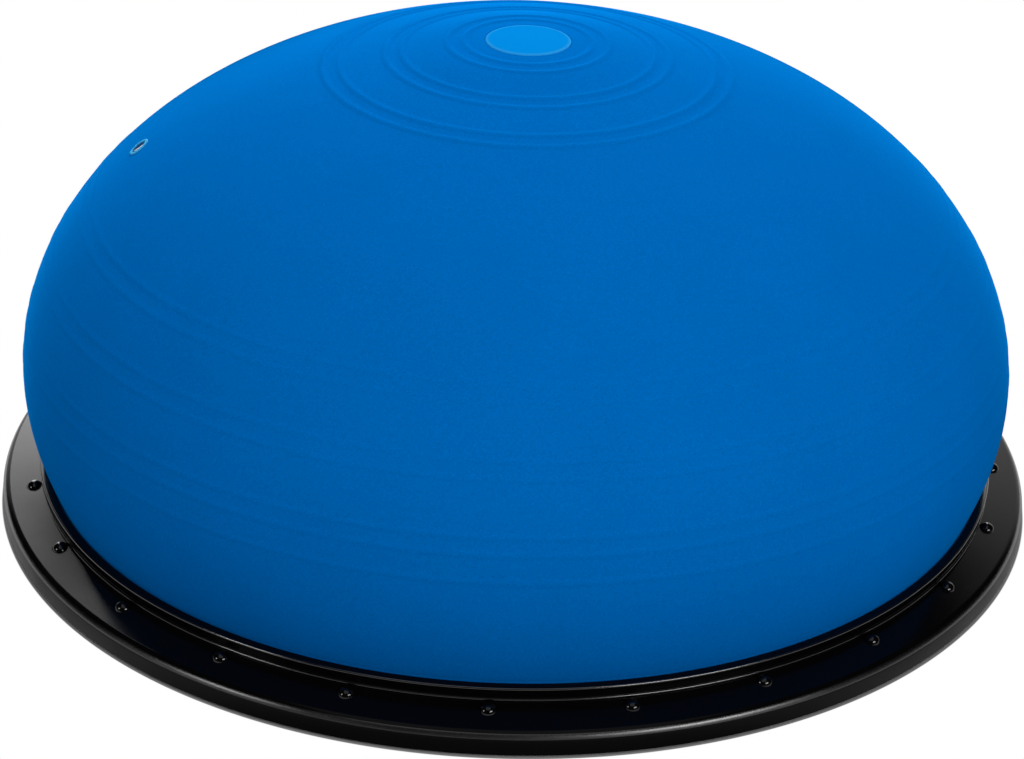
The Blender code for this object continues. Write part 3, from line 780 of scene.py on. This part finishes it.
def build_ring(scene):
    sizes = scene.balance_ball_ring
    rgb = scene.balance_ball_finishes.ring
    edge_level = sizes.flange_top - sizes.flange_fall
    satin = edge_level - sizes.rounding + 0.001
    finish = moulded_plastic(
        "Moulded polypropylene", rgb, smooth=0.12, rough=0.2, shine=0.08, satin_below=satin
    )
    outer, top, bottom = RING_HIGH.x, RING_HIGH.z, RING_LOW.z
    neck = outer - sizes.flange
    bore = neck - sizes.collar_wall
    wall = outer - sizes.skirt
    groove = scene.balance_ball.bead + CLEARANCE
    middle = (top + sizes.groove_top) / 2
    lip_top = sizes.flange_top + sizes.lower_lip_top
    lip_edge = lip_top - sizes.notch / 2
    corners = [
        (bore, middle, 0.0),
        (bore, top, 0.0004),
        (neck + sizes.upper_lip, top, 0.0009),
        (neck + sizes.upper_lip - sizes.lean, lip_top + sizes.notch, 0.0003),
        (neck, lip_top, 0.0003),
        (neck + sizes.lower_lip, lip_edge, 0.0007),
        (neck + sizes.lower_lip - sizes.lean / 2, lip_edge - sizes.lip_face, 0.0003),
        (neck, lip_top - sizes.notch - sizes.lip_face, 0.0002),
        (neck, sizes.flange_top, 0.0002),
        (outer, edge_level, sizes.rounding),
        (outer, bottom, 0.0003),
        (wall, bottom, 0.0005),
        (wall, sizes.land, 0.0005),
        (groove, sizes.land, 0.0002),
        (groove, sizes.groove_top, 0.0002),
        (bore, sizes.groove_top, 0.0003),
        (bore, middle, 0.0),
    ]
    ring = turned_piece("base_ring", rounded(corners, 6), RING_STEPS, finish)
    # Shoes and hands rub the edges of the two lips bright, and the rounding less so
    rubbed = len(ring.data.materials)
    worn = rubbed + 1
    for name, smooth, shine, level in (
        ("Rubbed polypropylene", 0.12, 0.95, None),
        ("Worn polypropylene", 0.2, 0.8, satin),
    ):
        ring.data.materials.append(
            moulded_plastic(name, rgb, smooth, smooth + 0.08, shine=shine, satin_below=level)
        )
    for face in ring.data.polygons:
        out, facing = math.hypot(*face.center.xy), face.normal.z
        if face.center.z > sizes.flange_top:
            if out > neck + sizes.lower_lip / 2 and 0.1 < facing < 0.95:
                face.material_index = rubbed
        elif out > wall and 0.3 < facing < 0.75:
            face.material_index = worn
    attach(ring, "base")
    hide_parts("clamp_ring")


def build_rivets(scene):
    sizes = scene.balance_ball_fasteners
    ring = scene.balance_ball_ring
    rgb = scene.balance_ball_finishes.rivet
    finish = moulded_plastic(
        "Polished nylon", rgb, smooth=0.08, rough=0.16, grain_mm=1.5, shine=0.35
    )
    slope = ring.flange_fall / ring.flange
    level = ring.flange_top - slope * (sizes.rivet_circle - RING_HIGH.x + ring.flange)
    # A head is the cap of a sphere with this radius
    sphere = (sizes.head_radius**2 + sizes.head_height**2) / (2 * sizes.head_height)
    reach, rows = math.asin(sizes.head_radius / sphere), 10
    head = []
    for i in range(rows + 1):
        turn = reach * i / rows
        height = sphere * math.cos(turn) - sphere + sizes.head_height
        head.append((sphere * math.sin(turn), height))
    head.append((0.0, 0.0))
    under, tail = PLATE_HIGH.z - scene.balance_ball_plate.thickness, RIVET_LOW.z
    chamfer, tail_end = 0.0003, sizes.tail_radius * 0.85
    shank = [
        (0.0, ring.land),
        (sizes.shank_radius, ring.land),
        (sizes.shank_radius, under),
        (sizes.tail_radius, under - chamfer),
        (tail_end, tail + chamfer),
        (sizes.shank_radius, tail),
        (0.0, tail),
    ]
    # The heads lie flat on the sloping flange, and the tails on the level underside
    for name, outline, height, tilt in (
        ("domed_rivets", head, level, math.atan(slope)),
        ("rivet_tails", shank, 0.0, 0.0),
    ):
        uneven = 0.05 if tilt else 0.0
        values = {"Steps": RIVET_STEPS, "Count": sizes.rivets, "Circle radius": sizes.rivet_circle}
        values |= {"Level": height, "Tilt": tilt, "Unevenness": uneven, "Seed": 7}
        piece = repeated_piece(name, outline, values, finish)
        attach(piece, "base")
        if tilt:
            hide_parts(*(n for n in frame["nodes"] if n.startswith("rivet_")))


def foot_places(sizes):
    """The feet and their cups stand on one circle, at either side of the X axis."""
    places = {"Count": sizes.feet, "Circle radius": sizes.foot_circle}
    return {**places, "Start angle": math.pi / sizes.feet}


def build_feet(scene):
    sizes = scene.balance_ball_fasteners
    radius = sizes.foot_radius
    pad_top = PLATE_HIGH.z - scene.balance_ball_plate.thickness
    peg, peg_chamfer, chamfer = 0.004, 0.0006, 0.0003
    sole_edge, sole_round = 0.0011, 0.0004
    outline = [
        (0.0, FOOT_HIGH.z),
        (peg - peg_chamfer, FOOT_HIGH.z),
        (peg, FOOT_HIGH.z - peg_chamfer),
        (peg, pad_top),
        (radius - chamfer, pad_top),
        (radius, pad_top - chamfer),
        (radius, sole_edge),
        (radius - sole_round, sole_round),
        (radius - sole_edge, 0.0),
    ]
    # Three round grooves in the sole give it grip
    groove, groove_depth = 0.0009, 0.0006
    for middle in (0.0115, 0.0082, 0.0049):
        outline += [
            (middle + groove / 2, 0.0),
            (middle + groove / 4, groove_depth),
            (middle - groove / 4, groove_depth),
            (middle - groove / 2, 0.0),
        ]
    outline.append((0.0, 0.0))
    values = {"Steps": FOOT_STEPS, **foot_places(sizes)}
    finish = foot_rubber(scene.balance_ball_finishes.rubber)
    feet = repeated_piece("rubber_feet", outline, values, finish)
    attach(feet, "base")
    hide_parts(*(n for n in frame["nodes"] if n.startswith("foot_")))


def build_plate(scene):
    sizes = scene.balance_ball_plate
    fasteners = scene.balance_ball_fasteners
    rgb = scene.balance_ball_finishes.plate
    finish = moulded_plastic(
        "Grained polypropylene", rgb, smooth=0.42, rough=0.62, grain_mm=1.1, grain_depth=0.0001
    )
    top, bottom = PLATE_HIGH.z, PLATE_LOW.z
    under = top - sizes.thickness
    edge, fillet = 0.0004, 0.0006
    corners = [(0.0, top, 0.0), (sizes.radius, top, edge), (sizes.radius, under, edge)]
    for outer in (sizes.rim_rib, sizes.middle_rib, sizes.hub):
        inner = outer - sizes.rib_width
        for radius, height in ((outer, under), (outer, bottom), (inner, bottom), (inner, under)):
            corners.append((radius, height, fillet))
    # Stub of the moulding gate in the middle
    stub, root_radius, tip_radius = under - 0.0012, 0.006, 0.0045
    corners += [(root_radius, under, fillet), (tip_radius, stub, 0.0003), (0.0, stub, 0.0)]
    plate = turned_piece("ribbed_plate", rounded(corners, 3), PLATE_STEPS, finish)
    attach(plate, "base")
    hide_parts("base_plate")

    # The spokes and cups run a little into the plate, so that nothing shows between them
    half, root, spoke_end = sizes.rib_width / 2, under + 0.001, bottom + 0.0004
    low, high = (sizes.hub - half, -half, spoke_end), (sizes.rim_rib - half, half, root)
    spokes = new_piece("plate_spokes", rounded_bar("plate_spokes", low, high, rounding=0.0005))
    values = {"Count": sizes.spokes, "Circle radius": 0.0}
    plain_mesh(spokes, repeat_tree(finish, False), values)
    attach(spokes, "base")

    seat = fasteners.foot_radius + CLEARANCE
    wall, end = seat + 0.0025, bottom + 0.0002
    corners = [(seat, root, 0.0), (wall, root, 0.0), (wall, end, fillet), (seat, end, fillet)]
    corners.append(corners[0])
    values = {"Steps": CUP_STEPS, **foot_places(fasteners)}
    cups = repeated_piece("foot_cups", rounded(corners, 3), values, finish)
    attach(cups, "base")


def build_valve(scene):
    sizes = scene.balance_ball_valve
    colours = scene.balance_ball_finishes
    place = valve_matrix(sizes, BallSurface(scene.balance_ball))
    # Levels along the valve's axis, from the ball's surface
    rim, base = 0.0005, CLEARANCE - sizes.sunk
    end = -sizes.wall - sizes.reach
    middle = (rim + end) / 2
    throat, throat_top = 0.0024, end + 0.0025
    corners = [
        (sizes.bore, middle, 0.0),
        (sizes.bore, rim, 0.0004),
        (sizes.flange, rim, 0.0006),
        (sizes.flange, base, 0.0002),
        (sizes.tube, base, 0.0002),
        (sizes.tube, end, 0.0003),
        (throat, end, 0.0003),
        (throat, throat_top, 0.0003),
        (sizes.bore, throat_top, 0.0003),
        (sizes.bore, middle, 0.0),
    ]
    pale = soft_vinyl("Pale soft vinyl", colours.valve)
    body = turned_piece("air_valve", rounded(corners, 4), VALVE_STEPS, pale)
    body.data.transform(place)
    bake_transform(body)
    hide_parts("valve_seat")

    # The stopper: a cup with a grip bar across it, and a tip that fills the throat
    cup_wall, cup_depth, tip_length = 0.0007, 0.002, 0.0034
    radius, tip = sizes.bore - CLEARANCE, throat - CLEARANCE
    cup, top = radius - cup_wall, rim - CLEARANCE
    floor, shoulder = top - cup_depth, throat_top + CLEARANCE
    nose = shoulder - tip_length
    corners = [
        (0.0, floor, 0.0),
        (cup, floor, 0.0003),
        (cup, top, 0.0003),
        (radius, top, 0.0003),
        (radius, shoulder, 0.0004),
        (tip, shoulder, 0.0002),
        (tip, nose, 0.0008),
        (0.0, nose, 0.0),
    ]
    dark = soft_vinyl("Dark soft vinyl", colours.stopper)
    plug = turned_piece("valve_plug", rounded(corners, 4), STOPPER_STEPS, dark)
    half, overlap, grip_height = 0.0005, 0.0003, 0.0016
    low = (-cup - overlap, -half, floor - overlap)
    high = (cup + overlap, half, floor + grip_height)
    shape = bmesh.new()
    shape.from_mesh(plug.data)
    shape.from_mesh(rounded_bar("grip", low, high, rounding=0.0002))
    shape.to_mesh(plug.data)
    shape.free()
    plug.data.transform(place)
    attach(plug, "stopper")
    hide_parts("valve_stopper")


# Stage


def build_floor():
    """A wide round sheet of white paper, with a painted shadow of dark grey in the gap beside the
    ring.
    """
    shape = bmesh.new()
    bmesh.ops.create_circle(shape, cap_ends=True, radius=12.0, segments=96)
    floor = new_piece("floor", mesh_of("floor", shape))
    paper, tree, place = new_finish("White background paper")
    path = add(tree, "ShaderNodeLightPath").outputs
    # Dark grey paper near the ring: a painted shadow for the camera and for glossy plastic
    near = add(tree, "ShaderNodeBsdfDiffuse", {"Color": (0.3, 0.3, 0.3, 1.0)})
    white = add(tree, "ShaderNodeEmission", {"Color": (1.0, 1.0, 1.0, 1.0), "Strength": 1.0})
    out = add(tree, VECTOR, {0: place}, operation="LENGTH")
    # The ball's shadow falls 0.1 m toward the camera, as the largest lamp stands behind it
    moved = add(tree, VECTOR, {0: place, 1: (0.0, 0.1, 0.0)}, operation="ADD")
    shaded = add(tree, VECTOR, {0: moved}, operation="LENGTH")
    inputs = {0: path["Is Glossy Ray"], 1: path["Is Transmission Ray"]}
    bounced = add(tree, MATH, inputs, operation="MAXIMUM")
    # The camera sees white paper up to the gap beside the ring, and glossy plastic sees it up to
    # the ball's shadow; nearer in, the dark grey is a painted shadow
    bright = [
        add(tree, RANGE, {"Value": distance, "From Min": start, "From Max": end, "To Max": ray})
        for ray, distance, start, end in (
            (path["Is Camera Ray"], out, RING_HIGH.x + 0.0008, RING_HIGH.x + 0.0013),
            (bounced, shaded, 0.175, 0.205),
        )
    ]
    both = add(tree, MATH, {0: bright[0], 1: bright[1]}, operation="MAXIMUM")
    mixed = add(tree, "ShaderNodeMixShader", {0: both, 1: near, 2: white})
    add(tree, "ShaderNodeOutputMaterial", {"Surface": mixed})
    floor.data.materials.append(paper)


def build_world(settings):
    world = bpy.data.worlds.new("Studio")
    bpy.context.scene.world = world
    world.use_nodes = True
    tree = world.node_tree
    tree.nodes.clear()
    path = add(tree, "ShaderNodeLightPath").outputs
    # Glossy pieces see white paper behind the ball and a dim studio in front of it
    direction = add(tree, "ShaderNodeTexCoord").outputs["Generated"]
    back = add(tree, "ShaderNodeSeparateXYZ", {"Vector": direction}).outputs["Y"]
    ends = {"To Min": 0.015, "To Max": 1.0}
    behind = add(tree, RANGE, {"Value": back, "From Min": 0.7, "From Max": 0.82, **ends})
    soft = add(tree, MIX, {0: path["Is Glossy Ray"], 2: settings.ambient, 3: behind})
    inputs = {0: path["Is Camera Ray"], 1: path["Is Transmission Ray"]}
    seen = add(tree, MATH, inputs, operation="MAXIMUM")
    strength = add(tree, MIX, {0: seen, 2: soft, 3: 1.0})
    inputs = {"Color": (1.0, 1.0, 1.0, 1.0), "Strength": strength}
    light = add(tree, "ShaderNodeBackground", inputs)
    add(tree, "ShaderNodeOutputWorld", {"Surface": light})


def add_softbox(name, azimuth, elevation, width, height, power):
    """A lamp that faces the ball, at an azimuth and an elevation in degrees."""
    lamp = bpy.data.lights.new(name, "AREA")
    lamp.shape = "RECTANGLE"
    lamp.size, lamp.size_y = width, height
    lamp.energy = power
    box = new_piece(name, lamp)
    turn, up = math.radians(azimuth), math.radians(elevation)
    away = Vector((math.cos(up) * math.cos(turn), math.cos(up) * math.sin(turn), math.sin(up)))
    box.location = away * LAMP_DISTANCE
    box.rotation_euler = away.to_track_quat("Z", "Y").to_euler()
    box.visible_camera = False


def build_camera(settings):
    lens = bpy.data.cameras.new("Camera")
    lens.sensor_width = 36.0
    lens.lens = settings.lens
    lens.shift_x, lens.shift_y = settings.shift
    camera = new_piece("Camera", lens)
    up, turn = settings.elevation, settings.azimuth
    back = Vector((math.sin(turn) * math.cos(up), -math.cos(turn) * math.cos(up), math.sin(up)))
    place = Vector(settings.aim) + back * settings.distance
    facing = (-back).to_track_quat("-Z", "Y").to_matrix().to_4x4()
    rolled = facing @ Matrix.Rotation(settings.roll, 4, "Z")
    camera.matrix_world = Matrix.Translation(place) @ rolled
    bpy.context.scene.camera = camera


def build_stage(scene):
    settings = scene.balance_ball_stage
    build_floor()
    build_world(settings)
    add_softbox("Top softbox", 270.0, 72.0, 2.0, 2.0, settings.top_lamp)
    add_softbox("Back softbox", 98.0, 32.0, 2.1, 2.1, settings.back_lamp)
    add_softbox("Left softbox", 213.0, 24.0, 0.5, 0.4, settings.left_lamp)
    add_softbox("Right softbox", 309.0, 27.0, 1.1, 0.4, settings.right_lamp)
    build_camera(settings)
    scene.view_settings.view_transform = "Standard"


# Operators and panel


class BuildBall(bpy.types.Operator):
    """Build the inflated ball with its fine ribs"""

    bl_idname = "balance_ball.ball"
    bl_label = "Ball"

    def execute(self, context):
        build_ball(context.scene)
        return {"FINISHED"}


class BuildDisc(bpy.types.Operator):
    """Build the smooth disc in the crown"""

    bl_idname = "balance_ball.disc"
    bl_label = "Crown disc"

    def execute(self, context):
        build_disc(context.scene)
        return {"FINISHED"}


class BuildValve(bpy.types.Operator):
    """Build the air valve and its stopper"""

    bl_idname = "balance_ball.valve"
    bl_label = "Air valve"

    def execute(self, context):
        build_valve(context.scene)
        return {"FINISHED"}


class BuildRing(bpy.types.Operator):
    """Build the clamp ring with its lipped collar"""

    bl_idname = "balance_ball.ring"
    bl_label = "Clamp ring"

    def execute(self, context):
        build_ring(context.scene)
        return {"FINISHED"}


class BuildRivets(bpy.types.Operator):
    """Build the domed rivets round the ring"""

    bl_idname = "balance_ball.rivets"
    bl_label = "Rivets"

    def execute(self, context):
        build_rivets(context.scene)
        return {"FINISHED"}


class BuildPlate(bpy.types.Operator):
    """Build the base plate with its ribs and foot cups"""

    bl_idname = "balance_ball.plate"
    bl_label = "Base plate"

    def execute(self, context):
        build_plate(context.scene)
        return {"FINISHED"}


class BuildFeet(bpy.types.Operator):
    """Build the rubber feet"""

    bl_idname = "balance_ball.feet"
    bl_label = "Feet"

    def execute(self, context):
        build_feet(context.scene)
        return {"FINISHED"}


class BuildStage(bpy.types.Operator):
    """Build the floor, the lamps and the camera"""

    bl_idname = "balance_ball.stage"
    bl_label = "Stage"

    def execute(self, context):
        build_stage(context.scene)
        return {"FINISHED"}


OPERATORS = (BuildStage, BuildBall, BuildDisc, BuildValve, BuildRing, BuildRivets)
OPERATORS += (BuildPlate, BuildFeet)
GROUPS = {
    "balance_ball": BallSizes,
    "balance_ball_valve": ValveSizes,
    "balance_ball_ring": RingSizes,
    "balance_ball_fasteners": FastenerSizes,
    "balance_ball_plate": PlateSizes,
    "balance_ball_finishes": Finishes,
    "balance_ball_stage": StageSettings,
}


class BalanceBallPanel(bpy.types.Panel):
    """Buttons for the pieces, with their sizes and colours"""

    bl_idname = "VIEW3D_PT_balance_ball"
    bl_label = "Balance ball"
    bl_space_type = "VIEW_3D"
    bl_region_type = "UI"
    bl_category = "Balance ball"

    def draw(self, context):
        for operator in OPERATORS:
            self.layout.operator(operator.bl_idname)
        for name, group in GROUPS.items():
            box = self.layout.box()
            box.label(text=group.__doc__.splitlines()[0])
            for key in group.__annotations__:
                box.prop(getattr(context.scene, name), key)


CLASSES = (*GROUPS.values(), *OPERATORS, BalanceBallPanel)


def register():
    for cls in CLASSES:
        bpy.utils.register_class(cls)
    for name, group in GROUPS.items():
        setattr(bpy.types.Scene, name, bpy.props.PointerProperty(type=group))


def unregister():
    for name in GROUPS:
        delattr(bpy.types.Scene, name)
    for cls in reversed(CLASSES):
        bpy.utils.unregister_class(cls)


def clear_startup():
    """Removes what Blender's startup file holds, and keeps the frame."""
    kept = {*frame["bodies"].values(), *frame["nodes"].values()}
    for old in list(bpy.data.objects):
        if old not in kept:
            bpy.data.objects.remove(old, do_unlink=True)


def main():
    register()
    clear_startup()
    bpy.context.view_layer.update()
    for operator in OPERATORS:
        group, action = operator.bl_idname.split(".")
        getattr(getattr(bpy.ops, group), action)()


if __name__ == "__main__":
    main()
